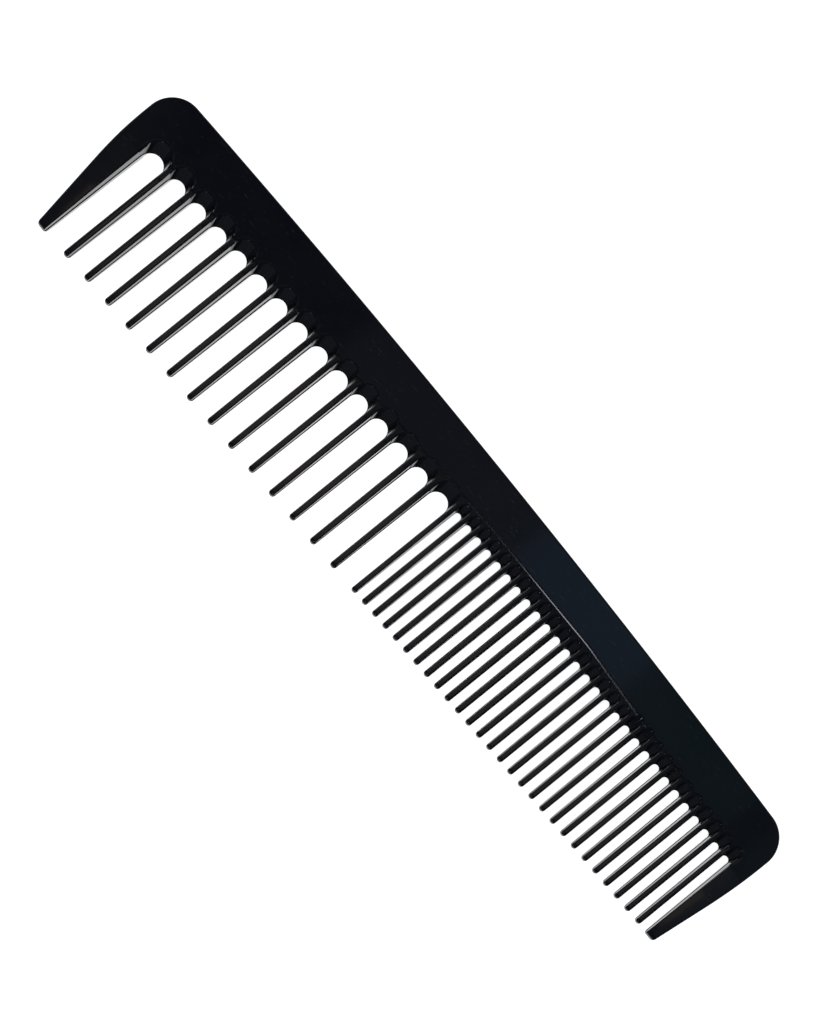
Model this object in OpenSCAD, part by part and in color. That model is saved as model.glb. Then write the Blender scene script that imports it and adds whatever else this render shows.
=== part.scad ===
// Dressing comb: a flat spine with an arched back, 14 wide-spaced teeth, 28 close-set
// teeth and a broad guard tooth at each end.
//
// The comb lies on its face. X runs along the back from the coarse end to the fine end,
// +Y points from the tooth tips to the back, and Z is the thickness. The origin is at the
// centre of the footprint, on the surface that the comb lies on.

/* [Spine] */
// Length over both ends
comb_length = 178.8; // [165:0.1:195]
// How far the middle of the back stands above its two ends
back_rise = 1.75; // [0.8:0.05:3]
// From the back edge to the closed ends of the slots
spine_depth = 11; // [10:0.1:13.4]
// Thickness of the flat spine and of the guards at their roots
spine_t = 4; // [3.8:0.1:5]
// Radius of the two corners of the back
corner_r = 6; // [3:0.1:6.4]
// From the top of the back to the line of tips, at the middle of the comb
comb_depth = 35.4; // [30:0.1:40]
// Slope of the line of tips, which makes the coarse teeth longer than the fine ones
tip_slope = 1.53; // [0:0.01:2]

/* [Crease] */
// From the back edge to the crease, at the coarse end
crease_coarse = 10.7; // [8.4:0.05:10.8]
// The same at the first knee of the crease
crease_knee_a = 8.3; // [7.4:0.05:9.4]
// The same at the second knee of the crease
crease_knee_b = 7.85; // [7.4:0.05:9.4]
// The same at the fine end
crease_fine = 9.3; // [8.4:0.05:10]
// Where the first knee lies along the comb
knee_a_x = 8; // [0:1:16]
// Where the second knee lies along the comb
knee_b_x = 38; // [30:1:46]
// Slope of the short bevel that steps down from the spine at the crease
crease_bevel = 35; // [20:1:60]
// Flat left between the bevel's foot and the web's slope
crease_land = 0.1; // [0.05:0.01:0.2]
// Slope of the web between two teeth, from the crease down to the slot
web_slope = 12; // [6:1:16]

/* [Teeth] */
// Thickness of a tooth where it leaves the spine, 25 mm from the line of tips
tooth_root_t = 3.6; // [3:0.05:3.7]
// Thickness of a tooth at the start of its rounded tip
tooth_tip_t = 2; // [1.6:0.05:2.6]
// Thickness of a guard at its tip
guard_tip_t = 2.3; // [1.8:0.05:3]

/* [Coarse teeth] */
// Number of coarse teeth
coarse_count = 14; // [10:1:15]
// Spacing of the coarse teeth
coarse_pitch = 5.76; // [5.4:0.02:6]
// Width of a coarse tooth at its root, over the parting line
coarse_root_w = 1.63; // [1.3:0.01:1.66]
// Width of a coarse tooth at its tip, over the parting line
coarse_tip_w = 1.42; // [1.1:0.01:1.5]
// Draft of a coarse tooth's flanks
coarse_draft = 10; // [4:0.5:12]
// Gap between the coarse guard and the first tooth
coarse_end_gap = 4.95; // [4.4:0.05:5.4]

/* [Fine teeth] */
// Number of fine teeth
fine_count = 28; // [20:1:30]
// How much each fine pitch is wider than the one before it
fine_growth = 0.0055; // [0:0.0005:0.01]
// Width of a fine tooth at its root, over the parting line
fine_root_w = 1.37; // [1.1:0.01:1.45]
// Width of a fine tooth at its tip, over the parting line
fine_tip_w = 1.28; // [1:0.01:1.35]
// Draft of a fine tooth's flanks
fine_draft = 7.5; // [4:0.5:9]
// Gap between the last coarse tooth and the first fine tooth
middle_gap = 4.46; // [4.2:0.02:5]
// Gap between the last fine tooth and the fine guard
fine_end_gap = 1.62; // [1.3:0.02:2]

/* [Guards] */
// Width of the coarse guard at the corners of the spine
coarse_guard_w = 5.75; // [4.6:0.05:6.6]
// Width of the coarse guard at its blunt tip
coarse_guard_tip_w = 1.95; // [1.4:0.05:2.6]
// Width of the fine guard at the corners of the spine
fine_guard_w = 4.35; // [3.9:0.05:5]
// Width of the fine guard at its blunt tip
fine_guard_tip_w = 2.15; // [1.4:0.05:2.6]
// How far below the corners the outer edges stop curving and run straight
guard_curve = 14; // [12:0.5:18]
// Radius of the corners of the blunt tips
guard_tip_r = 0.6; // [0.3:0.05:0.7]

/* [Hidden] */
$fn = 64;
end_x = comb_length / 2;
back_r = (end_x * end_x + back_rise * back_rise) / (2 * back_rise);
corner_x = end_x - corner_r;
corner_y = sqrt(pow(back_r - corner_r, 2) - corner_x * corner_x) - back_r;
// Half the angle of the back's arc
back_turn = asin(end_x / back_r);
// Flats that the curves are made of
back_steps = 30;
edge_steps = 12;
tip_steps = 8;
// Room that a cutter has past the face that it opens
past = 1;
// Longer than any tooth and longer than the comb is wide
far = 60;
// Half the thickness that a tooth loses for each millimetre towards its tip
taper_run = 25;
taper = (tooth_root_t - tooth_tip_t) / 2 / taper_run;

function arc_points(x, y, r, from, to, steps) = [
    for (k = [0 : steps])
        let (turn = from + (to - from) * k / steps)
            [x + r * cos(turn), y + r * sin(turn)]
];

// The comb is drawn with its back's highest point at Y 0 and its middle plane at Z 0.
function back_y(x) = sqrt(back_r * back_r - x * x) - back_r;
function slot_end_y(x) = sqrt(pow(back_r - spine_depth, 2) - x * x) - back_r;
function tip_y(x) = x * tan(tip_slope) - comb_depth;
function land_z(x, y) = tooth_tip_t / 2 + (y - tip_y(x)) * taper;

coarse_guard_x = -end_x + coarse_guard_w;
fine_guard_x = end_x - fine_guard_w;
coarse_first_x = coarse_guard_x + coarse_end_gap + coarse_root_w / 2;
coarse_last_x = coarse_first_x + (coarse_count - 1) * coarse_pitch;
fine_first_x = coarse_last_x + coarse_root_w / 2 + middle_gap + fine_root_w / 2;
fine_last_x = fine_guard_x - fine_end_gap - fine_root_w / 2;
fine_steps = fine_count - 1;
fine_pitch = (fine_last_x - fine_first_x) / fine_steps - fine_growth * (fine_steps - 1) / 2;

function is_coarse(i) = i < coarse_count;
function coarse_x(i) = coarse_first_x + i * coarse_pitch;
function fine_x(i) = fine_first_x + i * fine_pitch + fine_growth * i * (i - 1) / 2;

// The teeth are numbered from 0 at the coarse end, and slot i lies before tooth i.
tooth_count = coarse_count + fine_count;
function tooth_x(i) = is_coarse(i) ? coarse_x(i) : fine_x(i - coarse_count);
function root_w(i) = is_coarse(i) ? coarse_root_w : fine_root_w;
function slot_from_x(i) = i == 0 ? coarse_guard_x : tooth_x(i - 1) + root_w(i - 1) / 2;
function slot_to_x(i) = i == tooth_count ? fine_guard_x : tooth_x(i) - root_w(i) / 2;
function slot_x(i) = (slot_from_x(i) + slot_to_x(i)) / 2;
function slot_r(i) = (slot_to_x(i) - slot_from_x(i)) / 2;
function slot_round_y(i) = slot_end_y(slot_x(i)) - slot_r(i);
// A tooth starts where the round ends of the slots on both sides of it have run out.
function tooth_root_y(i) = min(slot_round_y(i), slot_round_y(i + 1));
coarse_guard_root_y = slot_round_y(0);
fine_guard_root_y = slot_round_y(tooth_count);

// Slope of a guard's outer edge where it runs straight to the tip, and how far the edge
// has drawn in at y: along a parabola at first, then along the straight.
function edge_slope(w, tip_w, tip) = (w - tip_w) / (corner_y - tip - guard_curve / 2);
function edge_in(slope, y) =
    let (drop = corner_y - y)
        drop < guard_curve ? slope * drop * drop / 2 / guard_curve : slope * (drop - guard_curve / 2);
function edge_points(slope, from_y, to_y) = [
    for (k = [0 : edge_steps])
        let (y = from_y + (to_y - from_y) * k / edge_steps)
            [end_x - edge_in(slope, y), y]
];
coarse_edge_slope = edge_slope(coarse_guard_w, coarse_guard_tip_w, tip_y(coarse_guard_x));
fine_edge_slope = edge_slope(fine_guard_w, fine_guard_tip_w, tip_y(fine_guard_x));
straight_y = corner_y - guard_curve;

crease = [
    [-end_x, back_y(coarse_guard_x) - crease_coarse],
    [knee_a_x, back_y(knee_a_x) - crease_knee_a],
    [knee_b_x, back_y(knee_b_x) - crease_knee_b],
    [end_x, back_y(fine_guard_x) - crease_fine]
];
function crease_y(x) = lookup(x, crease);

lowest_y = tip_y(coarse_guard_x);

function two_digits(i) = str(i < 10 ? "0" : "", i);
coarse_names = [for (i = [1 : coarse_count]) str("coarse_tooth_", two_digits(i))];
fine_names = [for (i = [1 : fine_count]) str("fine_tooth_", two_digits(i))];

// Puts what is drawn about the back's highest point into the comb's own frame.
module in_place() {
    translate([0, -lowest_y / 2, spine_t / 2]) children();
}

// The same cut on the upper and the lower face.
module both_faces() {
    children();
    mirror([0, 0, 1]) children();
}

// Extrudes a section drawn in Y and Z along X, over the given width about x.
module along_x(x, width) {
    translate([x - width / 2, 0, 0]) rotate([90, 0, 90]) linear_extrude(width) children();
}

// Half of what lies inside the back, a corner and the curved outer edge of a guard.
module half_outline(slope) {
    difference() {
        polygon(concat(
            arc_points(0, -back_r, back_r, 90, 90 - back_turn, back_steps),
            edge_points(slope, corner_y, straight_y),
            [[0, straight_y]]
        ));
        difference() {
            translate([corner_x + corner_r, corner_y + corner_r])
                square(2 * corner_r, center = true);
            translate([corner_x, corner_y]) circle(corner_r);
        }
    }
}

module outer_outline() {
    half_outline(fine_edge_slope);
    mirror([1, 0]) half_outline(coarse_edge_slope);
}

// The plan of the round-ended slots, down to where the teeth take over.
module slot_plan(i) {
    translate([slot_x(i), slot_round_y(i)]) circle(slot_r(i));
    translate([slot_from_x(i), slot_round_y(i) - far]) square([2 * slot_r(i), far]);
}

// What lies beyond a tooth's root, from the slot before it to the slot after it.
module beyond_root(from_x, to_x, root_y) {
    translate([from_x, root_y - far]) square([to_x - from_x, far]);
}

module spine_plan() {
    difference() {
        outer_outline();
        for (i = [0 : tooth_count]) slot_plan(i);
        for (i = [0 : tooth_count - 1]) beyond_root(slot_x(i), slot_x(i + 1), tooth_root_y(i));
        beyond_root(-end_x - past, slot_x(0), coarse_guard_root_y);
        beyond_root(slot_x(tooth_count), end_x + past, fine_guard_root_y);
    }
}

// Everything on the tips' side of one straight stretch of the crease, above its bevel.
module below_crease(from, to) {
    bearing = atan2(to[1] - from[1], to[0] - from[0]);
    translate([from[0], from[1], spine_t / 2])
        rotate([0, 0, bearing])
            rotate([crease_bevel, 0, 0])
                translate([-comb_length, -far, 0])
                    cube([3 * comb_length, far, far]);
}

// Lowers the face between the guards from the spine's flat to the plane of the teeth.
module tooth_zone_cut() {
    land_from = coarse_guard_x - coarse_root_w / 4;
    land_to = fine_guard_x + fine_root_w / 4;
    intersection() {
        translate([0, tip_y(0), tooth_tip_t / 2])
            rotate([0, 0, tip_slope])
                rotate([atan(taper), 0, 0])
                    translate([-comb_length, -far, 0])
                        cube([2 * comb_length, 2 * far, far]);
        below_crease(crease[0], crease[1]);
        below_crease(crease[1], crease[2]);
        below_crease(crease[2], crease[3]);
        translate([land_from, -far, 0]) cube([land_to - land_from, 2 * far, far]);
    }
}

// The shallow valley that one slot makes in the web above it, between two drafted teeth.
module web_cut(i) {
    x = slot_x(i);
    foot_y = crease_y(x) - (spine_t / 2 - land_z(x, crease_y(x))) / tan(crease_bevel);
    top_y = foot_y - crease_land;
    top_z = land_z(x, top_y);
    low_y = slot_round_y(i) - 2 * past;
    low_z = top_z - (top_y - low_y) * tan(web_slope);
    from_lean = spine_t * tan(i <= coarse_count ? coarse_draft : fine_draft);
    to_lean = spine_t * tan(i < coarse_count ? coarse_draft : fine_draft);
    intersection() {
        along_x(x, 4 * slot_r(i))
            polygon([[top_y, top_z], [top_y, spine_t - past], [low_y, spine_t - past], [low_y, low_z]]);
        rotate([90, 0, 0])
            linear_extrude(far)
                polygon([
                    [slot_from_x(i), 0],
                    [slot_to_x(i), 0],
                    [slot_to_x(i) + to_lean, spine_t],
                    [slot_from_x(i) - from_lean, spine_t]
                ]);
    }
}

module spine() {
    color("#16171a")
        in_place()
            difference() {
                translate([0, 0, -spine_t / 2]) linear_extrude(spine_t) spine_plan();
                both_faces() tooth_zone_cut();
                for (i = [0 : tooth_count]) both_faces() web_cut(i);
            }
}

// Everything on the inner side of a drafted flank, which meets its mirror image at the
// parting line. The flank stands at half_w from x at the root and turns inwards by turn.
module flank(x, root_y, half_w, draft, turn) {
    lean = spine_t * tan(draft);
    translate([x + half_w, root_y, 0])
        rotate([0, 0, turn])
            translate([0, past, 0])
                rotate([90, 0, 0])
                    linear_extrude(far)
                        polygon([
                            [0, 0], [-lean, spine_t], [-far, spine_t], [-far, -spine_t], [-lean, -spine_t]
                        ]);
}

// A tooth: its lands slope towards a round tip, and both flanks are drafted to the
// parting line and close in slightly towards the tip.
module tooth(i) {
    x = tooth_x(i);
    half_root = root_w(i) / 2;
    half_tip = (is_coarse(i) ? coarse_tip_w : fine_tip_w) / 2;
    draft = is_coarse(i) ? coarse_draft : fine_draft;
    root_y = tooth_root_y(i);
    dome_y = tip_y(x) + half_tip;
    turn = -atan((half_root - half_tip) / (root_y - dome_y));
    nose_y = tip_y(x) + tooth_tip_t / 2;
    color("#16171a")
        in_place()
            intersection() {
                along_x(x, 2 * past + 2 * half_root) {
                    polygon([
                        [root_y, land_z(x, root_y)], [nose_y, tooth_tip_t / 2],
                        [nose_y, -tooth_tip_t / 2], [root_y, -land_z(x, root_y)]
                    ]);
                    translate([nose_y, 0]) circle(tooth_tip_t / 2);
                }
                flank(x, root_y, half_root, draft, turn);
                mirror_about(x) flank(x, root_y, half_root, draft, turn);
                translate([0, 0, -spine_t])
                    linear_extrude(2 * spine_t) {
                        translate([x, dome_y]) circle(half_tip);
                        translate([x - past - half_root, dome_y])
                            square([2 * past + 2 * half_root, far]);
                    }
            }
}

module mirror_about(x) {
    translate([x, 0, 0]) mirror([1, 0, 0]) translate([-x, 0, 0]) children();
}

// The plan of a guard, drawn for the fine end and mirrored for the coarse one. Its outer
// edge carries on the spine's, and its blunt tip has two round corners. It reaches past
// the inner edge above the tip's corner, where the draft cuts it.
module guard_plan(width, slope, root_y, tip) {
    inner_x = end_x - width;
    round_y = tip + guard_tip_r;
    lean = atan(slope);
    outer_x = end_x - edge_in(slope, round_y) - guard_tip_r / cos(lean);
    polygon(concat(
        edge_points(slope, root_y, straight_y),
        arc_points(outer_x, round_y, guard_tip_r, -lean, -90, tip_steps),
        arc_points(inner_x + guard_tip_r, round_y, guard_tip_r, 270, 180, tip_steps),
        [[inner_x - past, round_y], [inner_x - past, root_y]]
    ));
}

// A guard tooth at the fine end, or at the coarse end when mirrored. Its inner edge is
// drafted like a tooth's.
module guard(width, slope, root_y, tip, draft) {
    inner_x = end_x - width;
    nose_y = tip + guard_tip_t / 2;
    intersection() {
        translate([0, 0, -spine_t])
            linear_extrude(2 * spine_t)
                guard_plan(width, slope, root_y, tip);
        along_x(end_x, 4 * width) {
            polygon([
                [root_y, spine_t / 2], [nose_y, guard_tip_t / 2],
                [nose_y, -guard_tip_t / 2], [root_y, -spine_t / 2]
            ]);
            translate([nose_y, 0]) circle(guard_tip_t / 2);
        }
        mirror_about(inner_x) flank(inner_x, root_y, 0, draft, 0);
    }
}

module coarse_guard() {
    tip = tip_y(coarse_guard_x);
    color("#16171a")
        in_place()
            mirror([1, 0, 0])
                guard(coarse_guard_w, coarse_edge_slope, coarse_guard_root_y, tip, coarse_draft);
}

module fine_guard() {
    tip = tip_y(fine_guard_x);
    color("#16171a")
        in_place()
            guard(fine_guard_w, fine_edge_slope, fine_guard_root_y, tip, fine_draft);
}

spine();
coarse_guard();
for (i = [0 : coarse_count - 1]) {
    tooth(i);
}
for (i = [0 : fine_count - 1]) {
    tooth(coarse_count + i);
}
fine_guard();
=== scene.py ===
import math

import bmesh
import bpy
from mathutils import Matrix, Vector


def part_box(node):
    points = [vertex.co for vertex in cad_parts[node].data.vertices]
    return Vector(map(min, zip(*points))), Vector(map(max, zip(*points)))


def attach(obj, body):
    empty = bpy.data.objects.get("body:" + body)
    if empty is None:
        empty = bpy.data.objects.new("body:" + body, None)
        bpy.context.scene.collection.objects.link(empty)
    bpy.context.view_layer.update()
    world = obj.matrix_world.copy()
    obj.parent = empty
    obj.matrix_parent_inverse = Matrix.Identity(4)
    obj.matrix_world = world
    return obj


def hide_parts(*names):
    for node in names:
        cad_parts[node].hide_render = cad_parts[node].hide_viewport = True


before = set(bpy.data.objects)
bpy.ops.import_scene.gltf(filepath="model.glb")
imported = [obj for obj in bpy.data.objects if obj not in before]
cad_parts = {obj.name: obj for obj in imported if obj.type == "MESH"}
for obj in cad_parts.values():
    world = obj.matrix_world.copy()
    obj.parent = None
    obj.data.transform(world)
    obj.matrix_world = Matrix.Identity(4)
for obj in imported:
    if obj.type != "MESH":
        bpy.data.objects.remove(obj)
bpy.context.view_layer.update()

# ---------------------------------------------------------------------------------------
# The spine.
# The flat back of the comb, moulded in one piece with its teeth from glossy black plastic:
# an arched back edge, two round corners, and on the tips' side a crease where the faces
# step down to the level of the teeth. The slots end in it in round heads.

MM = 0.001
inside_cad = 0.01 * MM
spine_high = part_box("spine")[1]
end_x = spine_high.x
back_y = spine_high.y - inside_cad
face_z = spine_high.z
mid_z = face_z / 2
half_t = face_z - mid_z
back_rise = 1.75 * MM
back_radius = (end_x ** 2 + back_rise ** 2) / (2 * back_rise)
corner_radius = 6 * MM
outer_rounding = 0.4 * MM
outer_steps = 5
arc_steps = 60
corner_steps = 20
TINY = 0.001 * MM


def arc_y(x, depth):
    """Where a line that runs at this depth below the arched back lies at x."""
    return back_y - back_radius + math.sqrt((back_radius - depth) ** 2 - x ** 2)


def pick(kind, wanted):
    """Selects the vertices, edges or faces of the piece in edit mode that pass a test."""
    mesh = bmesh.from_edit_mesh(bpy.context.object.data)
    bpy.ops.mesh.select_all(action="DESELECT")
    bpy.ops.mesh.select_mode(type=kind)
    parts = {"VERT": mesh.verts, "EDGE": mesh.edges, "FACE": mesh.faces}[kind]
    for part in parts:
        part.select_set(wanted(part))
    mesh.select_flush_mode()
    bmesh.update_edit_mesh(bpy.context.object.data)


def middle(edge):
    return (edge.verts[0].co + edge.verts[1].co) / 2


def add_box(name, low, high):
    """A box between two corners, in edit mode, with its place in its mesh."""
    bpy.ops.object.select_all(action="DESELECT")
    bpy.ops.mesh.primitive_cube_add(size=1, location=(Vector(low) + Vector(high)) / 2)
    box = bpy.context.object
    box.name = name
    box.scale = Vector(high) - Vector(low)
    bpy.ops.object.transform_apply(location=True, rotation=True, scale=True)
    bpy.ops.object.mode_set(mode="EDIT")
    return box


def cut_along(point, normal, **how):
    """Bisects what is selected, exactly on the plane."""
    bpy.ops.mesh.bisect(plane_co=point, plane_no=normal, threshold=1e-8, **how)


def finish_mesh():
    """Merges what has met, points the faces outwards and leaves edit mode."""
    bpy.ops.mesh.select_all(action="SELECT")
    bpy.ops.mesh.remove_doubles(threshold=TINY)
    bpy.ops.mesh.select_all(action="SELECT")
    bpy.ops.mesh.normals_make_consistent(inside=False)
    bpy.ops.object.mode_set(mode="OBJECT")


# One edge across the bar is swept along the back's arc into a flat strip, and cut to length.
plate_depth = 16 * MM
spare = 3 * MM
past_end = end_x + spare
bpy.ops.object.select_all(action="DESELECT")
bpy.ops.mesh.primitive_plane_add(size=plate_depth, location=(0, 0, 0))
spine = bpy.context.object
spine.name = "comb_spine"
bpy.ops.object.mode_set(mode="EDIT")
pick("VERT", lambda v: v.co.x > 0)
bpy.ops.mesh.delete(type="VERT")
pick("VERT", lambda v: True)
bpy.ops.transform.translate(
    value=(plate_depth / 2 - past_end, arc_y(past_end, 0) - plate_depth / 2, 0)
)
bpy.ops.mesh.spin(
    steps=arc_steps,
    angle=2 * math.asin(past_end / back_radius),
    center=(0, back_y - back_radius, 0),
    axis=(0, 0, 1),
)
for side in (-1, 1):
    pick("FACE", lambda f: True)
    cut_along((side * end_x, 0, 0), (side, 0, 0), clear_outer=True)
pick("FACE", lambda f: True)
bpy.ops.mesh.dissolve_faces()

# The two corners of the back are rounded.
corner_y = arc_y(end_x - corner_radius, corner_radius)
arc_end_x = end_x - corner_radius - 1 * MM
pick("VERT", lambda v: arc_end_x < abs(v.co.x) < end_x - TINY and v.co.y > corner_y)
bpy.ops.mesh.dissolve_verts()
pick("VERT", lambda v: abs(abs(v.co.x) - end_x) < TINY and v.co.y > corner_y)
bpy.ops.mesh.bevel(
    offset=arc_y(end_x, 0) - corner_y, segments=corner_steps, affect="VERTICES"
)

# Below the corners the ends draw in along a shallow curve, which the guards carry on.
coarse_guard_low, coarse_guard_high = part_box("coarse_guard")
fine_guard_low, fine_guard_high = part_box("fine_guard")
coarse_in = (end_x + coarse_guard_low.x) / (corner_y - coarse_guard_high.y) ** 2
fine_in = (end_x - fine_guard_high.x) / (corner_y - fine_guard_high.y) ** 2
drop_step = 1.5 * MM
drops = [drop_step * step for step in range(1, 6)]
for drop in drops:
    pick("FACE", lambda f: True)
    cut_along((0, corner_y - drop, 0), (0, 1, 0))
for drop in drops:
    for side, curve in ((-1, coarse_in), (1, fine_in)):
        pick(
            "VERT",
            lambda v: v.co.x * side > end_x - TINY and abs(v.co.y - corner_y + drop) < TINY,
        )
        bpy.ops.transform.translate(value=(-side * curve * drop ** 2, 0, 0))
pick("FACE", lambda f: True)
bpy.ops.mesh.dissolve_faces()

# The plate is raised to its thickness, and its back, corners and ends rounded on both faces.
pick("FACE", lambda f: True)
bpy.ops.mesh.extrude_region_move(TRANSFORM_OT_translate={"value": (0, 0, face_z)})
bpy.ops.mesh.select_all(action="SELECT")
bpy.ops.mesh.normals_make_consistent(inside=False)
pick(
    "EDGE",
    lambda e: any(abs(f.normal.z) > 0.9 for f in e.link_faces)
    and any(abs(f.normal.z) < 0.1 and f.normal.y > -0.5 for f in e.link_faces),
)
bpy.ops.mesh.bevel(
    offset=outer_rounding, segments=outer_steps, affect="EDGES", clamp_overlap=False
)
finish_mesh()


def copy_of(model, name):
    """A copy of a finished piece or cutter, with its own mesh."""
    copy = model.copy()
    copy.data = model.data.copy()
    copy.name = name
    bpy.context.scene.collection.objects.link(copy)
    return copy


def joined(name, parts):
    """Several pieces that don't touch, made one."""
    bpy.ops.object.select_all(action="DESELECT")
    for part in parts:
        part.select_set(True)
    bpy.context.view_layer.objects.active = parts[0]
    bpy.ops.object.join()
    parts[0].name = name
    return parts[0]


def choose(piece):
    """Makes a piece the active one, and the only one selected."""
    bpy.ops.object.select_all(action="DESELECT")
    piece.select_set(True)
    bpy.context.view_layer.objects.active = piece


def cut_away(piece, cutter):
    """Takes the cutter out of the piece and deletes it."""
    choose(piece)
    cut = piece.modifiers.new("cut", "BOOLEAN")
    cut.operation = "DIFFERENCE"
    cut.solver = "EXACT"
    cut.object = cutter
    bpy.ops.object.modifier_apply(modifier=cut.name)
    bpy.data.objects.remove(cutter)


# The lands: from the crease down, both faces step down a short bevel to the planes that the
# teeth lie in, which close in towards the line of the tips. At each end a narrow strip of land
# runs on over the guard's root and ends in a sloping step. The cutters reach past both faces.
inner_coarse_x = coarse_guard_high.x
inner_fine_x = fine_guard_low.x
tip_rise = (fine_guard_low.y - coarse_guard_low.y) / (inner_fine_x - inner_coarse_x)
tip_half_t = 1 * MM
taper = 0.8 / 25
bevel_angle = math.radians(24)
bevel_run = 1 / math.tan(bevel_angle)
strip_w = 0.41 * MM
strip_step = 0.2 * MM
crease_line = [
    (inner_coarse_x - strip_w, 10.65 * MM),
    (8 * MM, 8.05 * MM),
    (38 * MM, 7.55 * MM),
    (inner_fine_x + strip_w, 9.05 * MM),
]
reach_past = 0.6 * MM
feet = []


def tip_y(x):
    return coarse_guard_low.y + (x - inner_coarse_x) * tip_rise


def land_half_t(x, y):
    """Half the thickness over the lands of the teeth, and of the spine below the crease."""
    return tip_half_t + (y - tip_y(x)) * taper


low_y = arc_y(0, plate_depth) - 2 * MM
cutter_back_y = back_y - 5 * MM
land_cutter = add_box(
    "land_cutter",
    (crease_line[0][0], low_y, mid_z + half_t),
    (crease_line[-1][0], cutter_back_y, face_z + reach_past),
)
for x, depth in crease_line[1:-1]:
    pick("FACE", lambda f: True)
    cut_along((x, 0, 0), (1, 0, 0))
for x, depth in crease_line:
    y = arc_y(x, 0) - depth
    # The foot lies where the bevel has come down to the land, which is thicker further up.
    foot = y
    for _ in range(4):
        foot = y - (half_t - land_half_t(x, foot)) * bevel_run
    feet.append((x, foot))
    for at_back, at_top, to_y, to_z in (
        (False, False, low_y, mid_z + land_half_t(x, low_y)),
        (True, False, foot, mid_z + land_half_t(x, foot)),
        (True, True, y + reach_past * bevel_run, face_z + reach_past),
    ):
        pick(
            "VERT",
            lambda v: abs(v.co.x - x) < TINY
            and (v.co.y > cutter_back_y - 0.1 * MM) == at_back
            and (v.co.z > face_z + reach_past / 2) == at_top,
        )
        from_y = cutter_back_y if at_back else low_y
        from_z = face_z + reach_past if at_top else face_z
        bpy.ops.transform.translate(value=(0, to_y - from_y, to_z - from_z))
for side, x in ((-1, crease_line[0][0]), (1, crease_line[-1][0])):
    pick("VERT", lambda v: abs(v.co.x - x) < TINY and v.co.z > face_z + reach_past / 2)
    bpy.ops.transform.translate(value=(side * (reach_past + strip_step), 0, 0))
finish_mesh()
lower_cutter = copy_of(land_cutter, "lower_cutter")
lower_cutter.data.transform(Matrix.Translation((0, 0, face_z)) @ Matrix.Diagonal((1, 1, -1, 1)))
lower_cutter.data.flip_normals()
cut_away(spine, joined("land_cutters", [land_cutter, lower_cutter]))


rim_profile = 0.36
sliver = 0.002 * MM


def is_flat(face):
    return abs(face.normal.z) > 0.995


def is_cut(face):
    return 0.05 < abs(face.normal.z) < 0.95


def round_rims(offset, segments):
    """Rounds the convex edges between the flat faces and what is cut into them. Only flat faces
    are merged first: merging the arched back too would tear it."""
    choose(spine)
    bpy.ops.object.mode_set(mode="EDIT")
    bpy.ops.mesh.select_all(action="SELECT")
    bpy.ops.mesh.remove_doubles(threshold=sliver)
    pick("FACE", is_flat)
    bpy.ops.mesh.dissolve_limited(angle_limit=math.radians(0.3))
    inside_x = inner_fine_x + strip_w + strip_step + 0.1 * MM
    pick(
        "EDGE",
        lambda e: e.is_convex
        and any(is_flat(f) for f in e.link_faces)
        and any(is_cut(f) for f in e.link_faces)
        and abs(middle(e).x) < inside_x
        and middle(e).y < cutter_back_y,
    )
    bpy.ops.mesh.bevel(
        offset=offset,
        segments=segments,
        profile=rim_profile,
        affect="EDGES",
        clamp_overlap=False,
    )
    finish_mesh()


crease_rounding = 0.1 * MM
round_rims(crease_rounding, 3)

# The slots: each has a round head, where the web thins to an edge at the parting line, and
# flanks drafted to both faces. The upper half of the mould stands in from the lower one by a
# hair, which leaves a narrow ledge along the parting line. Above the head the web is scooped
# out in a round-topped hollow, which starts steep at the flanks and is shallow at its top.
coarse_teeth = [name for name in sorted(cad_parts) if name.startswith("coarse_tooth")]
fine_teeth = [name for name in sorted(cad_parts) if name.startswith("fine_tooth")]
coarse_lean = math.tan(math.radians(8))
fine_lean = math.tan(math.radians(7))
slot_depth = 11 * MM
slot_length = 12 * MM
head_sides = 64
edge_half_t = 0.25 * MM
ledge_w = {coarse_lean: 0.13 * MM, fine_lean: 0.08 * MM}
ledge_rise = 0.02 * MM
flank_height = 1.7 * MM
scoop_run = {
    coarse_lean: 1 / math.tan(math.radians(34)),
    fine_lean: 1 / math.tan(math.radians(33)),
}
row = ["coarse_guard"] + coarse_teeth + fine_teeth + ["fine_guard"]
leans = [coarse_lean] * (1 + len(coarse_teeth)) + [fine_lean] * (len(fine_teeth) + 1)
slots = []
for k in range(len(row) - 1):
    left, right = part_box(row[k])[1].x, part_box(row[k + 1])[0].x
    x, radius = (left + right) / 2, (right - left) / 2
    slots.append((x, radius, arc_y(x, slot_depth) - radius, leans[k], leans[k + 1]))


def flank_in(height, lean):
    """How far a flank has drawn back from the parting line at a height over it."""
    if height <= 0:
        return -height * lean
    return ledge_w[lean] + (height - ledge_rise) * (lean - ledge_w[lean] / flank_height)


def foot_y(x):
    """Where the crease's bevel meets the lands at x."""
    for (left_x, left_y), (right_x, right_y) in zip(feet, feet[1:]):
        if x < right_x:
            break
    return left_y + (x - left_x) * (right_y - left_y) / (right_x - left_x)


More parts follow.
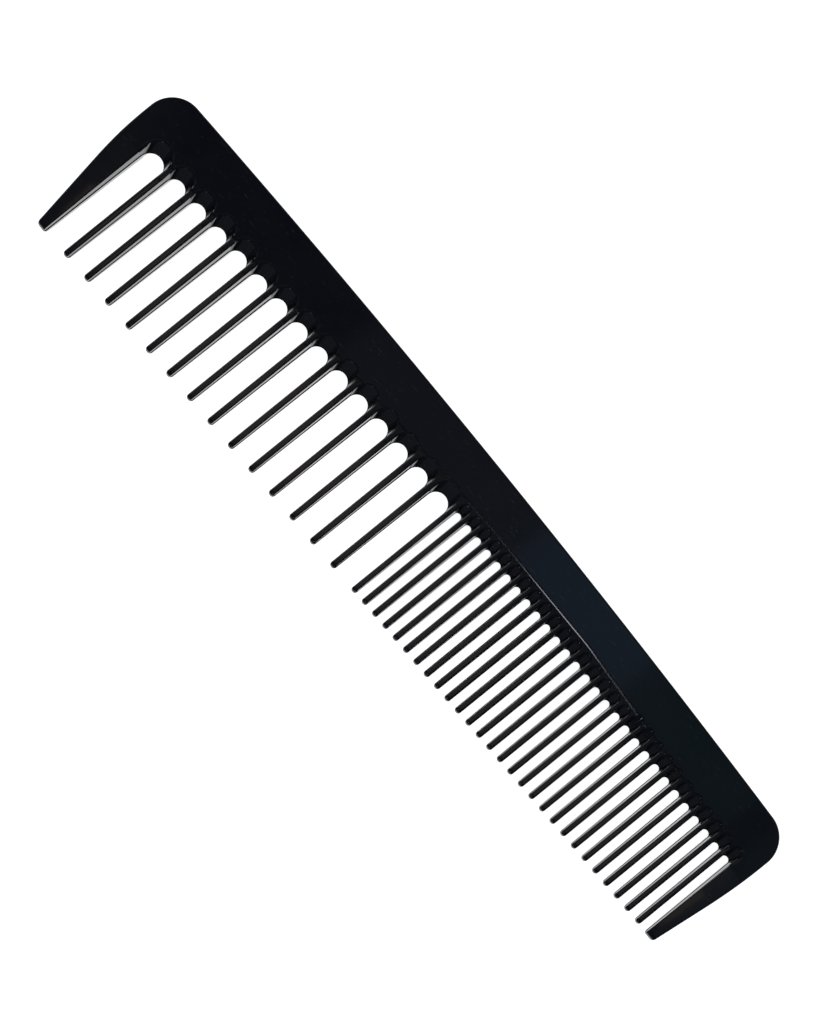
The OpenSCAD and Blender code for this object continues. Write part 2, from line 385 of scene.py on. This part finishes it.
def slot_cutter(radius, left_lean, right_lean):
    """A slot that points along -Y from its head's centre at the origin, with its scoops."""
    reach = half_t + reach_past
    bpy.ops.object.select_all(action="DESELECT")
    bpy.ops.mesh.primitive_cylinder_add(
        vertices=head_sides, radius=radius, depth=2 * reach, location=(0, 0, 0)
    )
    bpy.ops.object.mode_set(mode="EDIT")
    pick("FACE", lambda f: True)
    cut_along((0, 0, 0), (0, -1, 0), clear_outer=True, use_fill=True)
    pick("FACE", lambda f: f.normal.y < -0.9 and f.calc_center_median().y > -TINY)
    bpy.ops.mesh.extrude_region_move(TRANSFORM_OT_translate={"value": (0, -slot_length, 0)})
    for z in (-edge_half_t, 0, ledge_rise, edge_half_t):
        pick("FACE", lambda f: True)
        cut_along((0, 0, z), (0, 0, 1))
    for height in (-reach, -edge_half_t, ledge_rise, edge_half_t, reach):
        for side, lean in ((-1, left_lean), (1, right_lean)):
            wider = 1 + flank_in(height, lean) / radius
            pick("VERT", lambda v: abs(v.co.z - height) < TINY and v.co.x * side > TINY)
            bpy.ops.transform.resize(value=(wider, wider, 1), center_override=(0, 0, 0))
        pick("VERT", lambda v: abs(v.co.z - height) < TINY and abs(v.co.x) < TINY)
        bpy.ops.transform.resize(value=(1, wider, 1), center_override=(0, 0, 0))
    rise = (reach - edge_half_t) * (scoop_run[left_lean] - right_lean)
    pick("VERT", lambda v: abs(v.co.z) > half_t and v.co.y > -TINY)
    bpy.ops.transform.translate(value=(0, rise, 0))
    finish_mesh()
    return bpy.context.object


# Slots of nearly one width are copies of one cutter. A scoop stops short of the crease's foot
# or runs well over it, so that its rim has room to be rounded.
same_width = 0.06
stop_short = 0.3 * MM
run_over = 0.45 * MM
models = []
cutters = []
for x, radius, y, left_lean, right_lean in slots:
    kind = (left_lean, right_lean)
    fitting = [m for m in models if m[0] == kind and abs(m[1] / radius - 1) < same_width]
    if not fitting:
        fitting = [(kind, radius, slot_cutter(radius, left_lean, right_lean))]
        models += fitting
    _, model_radius, model = fitting[0]
    cutter = copy_of(model, "slot_cutter")
    cutters.append(cutter)
    wider = radius / model_radius
    cutter.data.transform(
        Matrix.Translation((x, y, mid_z)) @ Matrix.Diagonal((wider, wider, 1, 1))
    )
    scoop_t = land_half_t(x, foot_y(x)) - edge_half_t
    scoop_rise = flank_in(scoop_t + edge_half_t, right_lean)
    scoop_rise += scoop_t * (scoop_run[left_lean] - right_lean)
    room = foot_y(x) - (y + radius + wider * scoop_rise)
    if -run_over < room < stop_short:
        wanted = stop_short if room > (stop_short - run_over) / 2 else -run_over
        shift = (room - wanted) * (half_t + reach_past - edge_half_t) / scoop_t
        choose(cutter)
        bpy.ops.object.mode_set(mode="EDIT")
        pick("VERT", lambda v: abs(v.co.z - mid_z) > half_t and v.co.y > y - TINY)
        bpy.ops.transform.translate(value=(0, shift, 0))
        bpy.ops.object.mode_set(mode="OBJECT")
for _, _, model in models:
    bpy.data.objects.remove(model)
cut_away(spine, joined("slot_cutters", cutters))

# Each tooth and guard has its own root face, square across, where the slots' heads run out.
root_room = 0.5 * MM
root_low_y = low_y - 5 * MM
root_cutters = []
for name in row:
    low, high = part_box(name)
    root_cutters.append(
        add_box(
            "root_cutter",
            (max(low.x, -end_x) - root_room, root_low_y, -reach_past),
            (min(high.x, end_x) + root_room, high.y, face_z + reach_past),
        )
    )
    bpy.ops.object.mode_set(mode="OBJECT")
cut_away(spine, joined("root_cutters", root_cutters))

# The rims of the lands and the scoops are rounded off, as moulded.
rim_rounding = 0.28 * MM
rim_steps = 5
round_rims(rim_rounding, rim_steps)


def linear(hex_colour):
    """An sRGB hex colour as linear RGBA."""
    channels = [int(hex_colour[k : k + 2], 16) / 255 for k in (1, 3, 5)]
    return [c / 12.92 if c <= 0.04045 else ((c + 0.055) / 1.055) ** 2.4 for c in channels] + [1]


def add_node(tree, kind, settings=None, **links):
    """Adds a shader node, with its settings and what feeds its sockets."""
    node = tree.nodes.new(kind)
    for key, value in (settings or {}).items():
        if hasattr(node, key):
            setattr(node, key, value)
        else:
            node.inputs[key.replace("_", " ")].default_value = value
    for key, source in links.items():
        tree.links.new(source, node.inputs[key.replace("_", " ")])
    return node


# Injection-moulded styrene-type plastic, coloured black all through, from a polished mould:
# deep black with a clear gloss, very slight flow waves from cooling, a few patches rubbed
# duller by handling, and hairline scuffs along and across.
black_plastic = bpy.data.materials.new("polished_black_styrene")
black_plastic.use_nodes = True
tree = black_plastic.node_tree
tree.nodes.clear()
place = add_node(tree, "ShaderNodeTexCoord").outputs["Object"]
handling = add_node(
    tree, "ShaderNodeTexNoise", {"Scale": 1 / (14 * MM), "Detail": 3.0, "Roughness": 0.6},
    Vector=place,
).outputs["Fac"]
base = add_node(tree, "ShaderNodeValToRGB", None, Fac=handling)
base.color_ramp.elements[0].position = 0.3
base.color_ramp.elements[0].color = linear("#090a0b")
base.color_ramp.elements[1].position = 0.75
base.color_ramp.elements[1].color = linear("#0e0f11")
long_scuffs = add_node(
    tree, "ShaderNodeMapping", {"Rotation": (0, 0, 0.2), "Scale": (1, 14, 14)}, Vector=place
).outputs["Vector"]
cross_scuffs = add_node(
    tree, "ShaderNodeMapping", {"Rotation": (0, 0, 1.1), "Scale": (1, 18, 18)}, Vector=place
).outputs["Vector"]
hairlines = []
for mapping in (long_scuffs, cross_scuffs):
    lines = add_node(
        tree, "ShaderNodeTexNoise", {"Scale": 1 / (2.2 * MM), "Detail": 2.0}, Vector=mapping
    ).outputs["Fac"]
    narrow = add_node(
        tree, "ShaderNodeMapRange",
        {"From Min": 0.7, "From Max": 0.77, "To Min": 0.0, "To Max": 1.0}, Value=lines,
    ).outputs["Result"]
    hairlines.append(narrow)
scuffs = add_node(tree, "ShaderNodeMath", {"operation": "MAXIMUM"})
tree.links.new(hairlines[0], scuffs.inputs[0])
tree.links.new(hairlines[1], scuffs.inputs[1])
whitened = add_node(tree, "ShaderNodeMix", {"data_type": "RGBA", "blend_type": "MIX"})
tree.links.new(scuffs.outputs[0], whitened.inputs["Factor"])
tree.links.new(base.outputs["Color"], whitened.inputs[6])
whitened.inputs[7].default_value = linear("#303337")
dulled = add_node(
    tree, "ShaderNodeMapRange",
    {"From Min": 0.35, "From Max": 0.75, "To Min": 0.13, "To Max": 0.21}, Value=handling,
).outputs["Result"]
roughness = add_node(tree, "ShaderNodeMath", {"operation": "MULTIPLY_ADD"})
tree.links.new(scuffs.outputs[0], roughness.inputs[0])
roughness.inputs[1].default_value = 0.12
tree.links.new(dulled, roughness.inputs[2])
waves = add_node(
    tree, "ShaderNodeTexNoise", {"Scale": 1 / (5 * MM), "Detail": 1.0}, Vector=place
).outputs["Fac"]
grain = add_node(
    tree, "ShaderNodeTexNoise", {"Scale": 1 / (0.35 * MM), "Detail": 2.0}, Vector=place
).outputs["Fac"]
flow = add_node(
    tree, "ShaderNodeBump", {"Strength": 0.4, "Distance": 0.03 * MM}, Height=waves
).outputs["Normal"]
surface = add_node(
    tree, "ShaderNodeBump", {"Strength": 0.25, "Distance": 0.002 * MM}, Height=grain, Normal=flow
).outputs["Normal"]
plastic = add_node(
    tree, "ShaderNodeBsdfPrincipled",
    {"IOR": 1.59, "Coat Weight": 1.0, "Coat IOR": 1.6, "Coat Roughness": 0.06},
    Base_Color=whitened.outputs[2], Roughness=roughness.outputs[0], Normal=surface,
)
add_node(tree, "ShaderNodeOutputMaterial", None, Surface=plastic.outputs["BSDF"])


sharp_from = math.radians(20)


def complete(piece, node):
    """Smooths a piece over its small roundings and puts it in the place of its CAD node."""
    choose(piece)
    bpy.ops.object.shade_smooth_by_angle(angle=sharp_from)
    weighted = piece.modifiers.new("weighted", "WEIGHTED_NORMAL")
    weighted.keep_sharp = True
    bpy.ops.object.modifier_apply(modifier=weighted.name)
    piece.data.materials.clear()
    piece.data.materials.append(black_plastic)
    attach(piece, "root")
    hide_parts(node)


complete(spine, "spine")

# ---------------------------------------------------------------------------------------
# The coarse teeth.
# The 14 wide-set teeth, one with the spine's moulding. Each narrows and thins from its root
# to a round tip, with flat lands above and below and flanks drafted to the parting line.

parting_rounding = 0.02 * MM
nose_steps = 7
nose_turn = math.radians(84)


def tooth_model(name, low, high, tip_w, lean):
    """A tooth modelled from its root, away from the spine, and closed in a rounded nose."""
    x = (low.x + high.x) / 2
    root_w = high.x - low.x
    root_half_t = high.z - mid_z
    stub = 0.5 * MM
    tooth = add_box(name, (low.x, high.y - stub, mid_z - root_half_t), high)
    for z in (mid_z, mid_z + ledge_rise):
        pick("FACE", lambda f: True)
        cut_along((0, 0, z), (0, 0, 1))
    pick("VERT", lambda v: abs(v.co.z - mid_z - ledge_rise) < TINY)
    bpy.ops.transform.resize(
        value=(1 - 2 * ledge_w[lean] / root_w, 1, 1), center_override=(x, 0, mid_z)
    )
    land_w = root_w - 2 * root_half_t * lean
    pick("VERT", lambda v: abs(v.co.z - mid_z) > root_half_t / 2)
    bpy.ops.transform.resize(value=(land_w / root_w, 1, 1), center_override=(x, 0, mid_z))
    pick(
        "EDGE",
        lambda e: abs(e.verts[0].co.y - e.verts[1].co.y) > stub / 2
        and abs(middle(e).z - mid_z) > root_half_t / 2,
    )
    bpy.ops.mesh.bevel(
        offset=rim_rounding, segments=rim_steps, profile=rim_profile, affect="EDGES"
    )
    pick(
        "EDGE",
        lambda e: abs(e.verts[0].co.y - e.verts[1].co.y) > stub / 2
        and abs(middle(e).z - mid_z) < TINY,
    )
    bpy.ops.mesh.bevel(offset=parting_rounding, segments=2, affect="EDGES")

    # The blade runs to where the nose begins, which is as far from the tip as it is thick.
    nose_y = low.y + tip_half_t
    end_y = high.y - stub
    pick("FACE", lambda f: f.normal.y < -0.9)
    bpy.ops.mesh.extrude_region_move(TRANSFORM_OT_translate={"value": (0, nose_y - end_y, 0)})
    bpy.ops.transform.resize(
        value=(tip_w / root_w, 1, tip_half_t / root_half_t), center_override=(x, 0, mid_z)
    )
    tip_land_w = tip_w - 2 * tip_half_t * lean
    pick("VERT", lambda v: v.co.y < nose_y + TINY and abs(v.co.z - mid_z) > tip_half_t / 2)
    bpy.ops.transform.resize(
        value=(tip_land_w / (land_w * tip_w / root_w), 1, 1), center_override=(x, 0, mid_z)
    )

    # The nose: the last section is drawn on again and again, each time smaller.
    def width_at(left):
        half = tip_w / 2
        return half if left > half else math.sqrt(max(half ** 2 - (half - left) ** 2, 0))

    def thickness_at(left):
        return math.sqrt(max(tip_half_t ** 2 - (tip_half_t - left) ** 2, 0))

    left = tip_half_t
    pick("FACE", lambda f: f.normal.y < -0.9 and f.calc_center_median().y < nose_y + TINY)
    for step in range(1, nose_steps + 1):
        onward = tip_half_t * (1 - math.sin(nose_turn * step / nose_steps))
        bpy.ops.mesh.extrude_region_move(
            TRANSFORM_OT_translate={"value": (0, onward - left, 0)}
        )
        bpy.ops.transform.resize(
            value=(
                width_at(onward) / width_at(left), 1, thickness_at(onward) / thickness_at(left)
            ),
            center_override=(x, 0, mid_z),
        )
        left = onward
    bpy.ops.transform.translate(value=(0, -left, 0))
    finish_mesh()
    return tooth


def fitted(model, name, from_box, to_box):
    """A copy of a tooth, moved to its place, with its root and its tip where the node's are."""
    (from_low, from_high), (to_low, to_high) = from_box, to_box
    tooth = copy_of(model, name)
    choose(tooth)
    bpy.ops.object.mode_set(mode="EDIT")
    half_way = (from_low.y + from_high.y) / 2
    pick("VERT", lambda v: v.co.y > half_way)
    bpy.ops.transform.translate(value=(0, to_high.y - from_high.y, 0))
    thicker = (to_high.z - mid_z) / (from_high.z - mid_z)
    bpy.ops.transform.resize(value=(1, 1, thicker), center_override=(0, 0, mid_z))
    pick("VERT", lambda v: v.co.y <= half_way)
    bpy.ops.transform.translate(value=(0, to_low.y - from_low.y, 0))
    pick("VERT", lambda v: True)
    bpy.ops.transform.translate(
        value=((to_low.x + to_high.x - from_low.x - from_high.x) / 2, 0, 0)
    )
    bpy.ops.object.mode_set(mode="OBJECT")
    return tooth


def tooth_row(nodes, tip_w, lean):
    """Models the first tooth of a row and copies it to all its places."""
    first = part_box(nodes[0])
    model = tooth_model("tooth_model", *first, tip_w, lean)
    for node in nodes:
        complete(fitted(model, "comb_" + node, first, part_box(node)), node)
    bpy.data.objects.remove(model)


coarse_tip_w = 1.42 * MM
tooth_row(coarse_teeth, coarse_tip_w, coarse_lean)

# ---------------------------------------------------------------------------------------
# The fine teeth.
# The 28 close-set teeth over the other half: the same form, narrower and less drafted, and
# shorter towards the end because the line of tips rises.

fine_tip_w = 1.28 * MM
tooth_row(fine_teeth, fine_tip_w, fine_lean)

# ---------------------------------------------------------------------------------------
# The guards.
# The broad end teeth, which shield the others. Each carries on the spine's full thickness,
# rounded on its outer side and drafted on its inner side, and thins to a blunt tip.

guard_tip_half_t = 1.15 * MM
guard_tip_radius = 0.6 * MM
guard_curve = 14 * MM
coarse_guard_tip_w = 1.95 * MM
fine_guard_tip_w = 2.15 * MM
blade_steps = 12
guard_nose_steps = 8


def move(value, wanted):
    """Moves the vertices of the piece in edit mode that pass a test."""
    pick("VERT", wanted)
    bpy.ops.transform.translate(value=value)


def guard_model(name, node, side, tip_w, lean):
    """A guard drawn on from its root, section by section, to its blunt tip."""
    low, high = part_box(node)
    inner_x = low.x if side > 0 else high.x
    width = end_x - abs(inner_x)
    slope = (width - tip_w) / (corner_y - low.y - guard_curve / 2)
    nose_y = low.y + guard_tip_half_t

    def outer(y):
        drop = corner_y - y
        if drop < guard_curve:
            return end_x - slope * drop ** 2 / 2 / guard_curve
        return end_x - slope * (drop - guard_curve / 2)

    def thickness(y):
        if y > nose_y:
            run = (y - nose_y) / (high.y - nose_y)
            return guard_tip_half_t + (half_t - guard_tip_half_t) * run
        left = y - low.y
        return math.sqrt(max(guard_tip_half_t ** 2 - (guard_tip_half_t - left) ** 2, 0))

    def corner_in(y):
        left = y - low.y
        if left > guard_tip_radius:
            return 0
        across = math.sqrt(guard_tip_radius ** 2 - (guard_tip_radius - left) ** 2)
        return guard_tip_radius - across

    stub = 0.2 * MM
    middle_x = (abs(inner_x) + outer(high.y)) / 2 * side
    guard = add_box(
        name,
        (min(inner_x, side * outer(high.y)), high.y - stub, mid_z - half_t),
        (max(inner_x, side * outer(high.y)), high.y, mid_z + half_t),
    )
    for z in (mid_z, mid_z + ledge_rise):
        pick("FACE", lambda f: True)
        cut_along((0, 0, z), (0, 0, 1))
    for height in (-half_t, ledge_rise, half_t):
        move(
            (side * flank_in(height, lean), 0, 0),
            lambda v: abs(v.co.z - mid_z - height) < TINY and v.co.x * side < middle_x * side,
        )
    move(
        (side * (outer(high.y - stub) - outer(high.y)), 0, 0),
        lambda v: v.co.y < high.y - stub / 2 and v.co.x * side > middle_x * side,
    )
    for outwards, rounding, profile in (
        (True, outer_rounding, 0.5),
        (False, rim_rounding, rim_profile),
    ):
        pick(
            "EDGE",
            lambda e: abs(e.verts[0].co.y - e.verts[1].co.y) > stub / 2
            and abs(middle(e).z - mid_z) > half_t / 2
            and (middle(e).x * side > middle_x * side) == outwards,
        )
        bpy.ops.mesh.bevel(
            offset=rounding, segments=rim_steps, profile=profile, affect="EDGES"
        )

    stations = [
        high.y - stub + (nose_y - high.y + stub) * k / blade_steps
        for k in range(1, blade_steps + 1)
    ]
    stations += [
        low.y + guard_tip_half_t * (1 - math.sin(nose_turn * k / guard_nose_steps))
        for k in range(1, guard_nose_steps + 1)
    ]
    y = high.y - stub
    pick("FACE", lambda f: f.normal.y < -0.9)
    for onward in stations:
        bpy.ops.mesh.extrude_region_move(TRANSFORM_OT_translate={"value": (0, onward - y, 0)})
        thinner = thickness(onward) / thickness(y)
        bpy.ops.transform.resize(value=(1, 1, thinner), center_override=(0, 0, mid_z))
        corner = corner_in(onward) - corner_in(y)
        lean_less = (thickness(y) - thickness(onward)) * lean
        middle_x = (abs(inner_x) + outer(onward)) / 2 * side
        move(
            (side * (outer(onward) - outer(y) - corner), 0, 0),
            lambda v: v.co.y < onward + TINY and v.co.x * side > middle_x * side,
        )
        move(
            (side * corner, 0, 0),
            lambda v: v.co.y < onward + TINY and v.co.x * side < middle_x * side,
        )
        move(
            (-side * lean_less, 0, 0),
            lambda v: v.co.y < onward + TINY
            and v.co.x * side < middle_x * side
            and abs(v.co.z - mid_z) > thickness(onward) / 2,
        )
        y = onward
        pick(
            "FACE",
            lambda f: f.normal.y < -0.9 and max(v.co.y for v in f.verts) < onward + TINY,
        )
    bpy.ops.transform.translate(value=(0, low.y - y, 0))
    finish_mesh()
    return guard


for node, side, tip_w, lean in (
    ("coarse_guard", -1, coarse_guard_tip_w, coarse_lean),
    ("fine_guard", 1, fine_guard_tip_w, fine_lean),
):
    complete(guard_model("comb_" + node, node, side, tip_w, lean), node)

# ---------------------------------------------------------------------------------------
# The table that the comb lies on.
# A plain white board. It keeps the comb's soft shadow, and shows white to the camera and in
# the comb's gloss.

bpy.ops.object.select_all(action="DESELECT")
bpy.ops.mesh.primitive_grid_add(x_subdivisions=8, y_subdivisions=8, size=4)
table = bpy.context.object
table.name = "white_table"
white_board = bpy.data.materials.new("matt_white_board")
white_board.use_nodes = True
tree = white_board.node_tree
tree.nodes.clear()
seen = add_node(tree, "ShaderNodeLightPath").outputs
mirrored = add_node(tree, "ShaderNodeMath", {"operation": "MULTIPLY"})
tree.links.new(seen["Is Glossy Ray"], mirrored.inputs[0])
mirrored.inputs[1].default_value = 0.85
direct = add_node(tree, "ShaderNodeMath", {"operation": "MAXIMUM"})
tree.links.new(seen["Is Camera Ray"], direct.inputs[0])
tree.links.new(mirrored.outputs[0], direct.inputs[1])
shown = add_node(tree, "ShaderNodeMath", {"operation": "MAXIMUM"})
tree.links.new(direct.outputs[0], shown.inputs[0])
tree.links.new(seen["Is Transmission Ray"], shown.inputs[1])
paper = add_node(tree, "ShaderNodeBsdfDiffuse", {"Color": linear("#e6e6e6")})
glow = add_node(tree, "ShaderNodeEmission", {"Color": (1, 1, 1, 1), "Strength": 0.9})
lit = add_node(tree, "ShaderNodeAddShader")
tree.links.new(paper.outputs[0], lit.inputs[0])
tree.links.new(glow.outputs[0], lit.inputs[1])
board = add_node(tree, "ShaderNodeMixShader", None, Fac=shown.outputs[0])
tree.links.new(paper.outputs[0], board.inputs[1])
tree.links.new(lit.outputs[0], board.inputs[2])
add_node(tree, "ShaderNodeOutputMaterial", None, Surface=board.outputs[0])
table.data.materials.append(white_board)

# ---------------------------------------------------------------------------------------
# The light.
# Big soft boxes at the two ends, behind the back and before the tips give a plain level of
# light. They are kept out of the gloss, which mirrors the board, the dim room, weak panels
# overhead and at the sides, and a small bright strip and a window.

world = bpy.data.worlds.new("dim_room")
bpy.context.scene.world = world
world.use_nodes = True
background = world.node_tree.nodes["Background"]
background.inputs["Color"].default_value = linear("#9fbfff")
background.inputs["Strength"].default_value = 0.03


def soft_box(name, place, size, radiance, colour, overhead=False):
    """A soft box by its place and size in millimetres and its radiance. The ones overhead face
    straight down, and the others face the comb."""
    width, height = size[0] * MM, size[1] * MM
    lamp = bpy.data.lights.new(name, "AREA")
    lamp.shape = "RECTANGLE"
    lamp.size = width
    lamp.size_y = height
    lamp.energy = radiance * math.pi * width * height
    lamp.color = linear(colour)[:3]
    holder = bpy.data.objects.new(name, lamp)
    bpy.context.scene.collection.objects.link(holder)
    holder.location = Vector(place) * MM
    if not overhead:
        holder.rotation_euler = holder.location.to_track_quat("Z", "Y").to_euler()
    return holder


for name, place, size, radiance in (
    ("box_coarse_end", (-700, 60, 520), (600, 600), 2.4),
    ("box_fine_end", (700, 60, 520), (600, 600), 2.4),
    ("box_behind", (0, 700, 620), (700, 500), 1.6),
    ("box_before", (0, -700, 620), (700, 500), 2.2),
):
    soft_box(name, place, size, radiance, "#ffffff").visible_glossy = False
# Weak panels straight above, one over each stretch of the comb's face that mirrors it.
soft_box("blue_panel", (48, 74, 600), (96, 40), 0.104, "#a9c2ff", True)
soft_box("left_face_panel", (-75, 78, 640), (170, 44), 0.045, "#ccd6f0", True)
soft_box("right_face_panel", (105, 78, 640), (190, 44), 0.047, "#a5f7ff", True)
soft_box("web_panel", (-40, 10, 600), (560, 22), 0.02, "#f4f2ee", True)
soft_box("land_panel", (-45, -31, 600), (508, 58), 0.2, "#ffe9cf", True)
soft_box("fine_end_panel", (240, 10, 600), (60, 180), 0.045, "#bfe6ff", True)
soft_box("coarse_end_panel", (-350, 10, 600), (70, 180), 0.015, "#e4ecf6", True)
# Panels to the sides, which the rims, flanks and the crease's bevel mirror.
soft_box("side_panel", (-760, 0, 640), (700, 350), 0.08, "#e8ecf2")
soft_box("front_panel", (0, -790, 400), (1300, 330), 0.04, "#e8ecf2")
soft_box("crease_strip", (46, -720, 775), (64, 70), 5, "#eef4ff")
soft_box("low_window", (-900, 0, 170), (400, 220), 1.1, "#eef2f6")

# ---------------------------------------------------------------------------------------
# The camera.
# It looks down on the comb, tilted a little so that the tips are nearer, with the comb across
# the frame and its back to the upper right.

lens_mm = 55.95
camera_place = Vector((24.3, -13.6, 294)) * MM
view_centre = Vector((-1.77, 0.65, 4)) * MM
view_tilt = math.radians(2.5)
view_turn = math.radians(50.93)
camera_data = bpy.data.cameras.new("camera")
camera = bpy.data.objects.new("camera", camera_data)
bpy.context.scene.collection.objects.link(camera)
looking = Matrix.Rotation(view_tilt, 4, "X") @ Matrix.Rotation(view_turn, 4, "Z")
camera.location = camera_place
camera.rotation_euler = looking.to_euler()
camera_data.sensor_width = 36
camera_data.lens = lens_mm
camera_data.clip_start = 0.01
camera_data.clip_end = 10
centre = looking.inverted() @ (view_centre - camera_place)
camera_data.shift_x = -centre.x / centre.z * lens_mm / camera_data.sensor_width
camera_data.shift_y = -centre.y / centre.z * lens_mm / camera_data.sensor_width
bpy.context.scene.camera = camera
bpy.context.scene.view_settings.view_transform = "Standard"
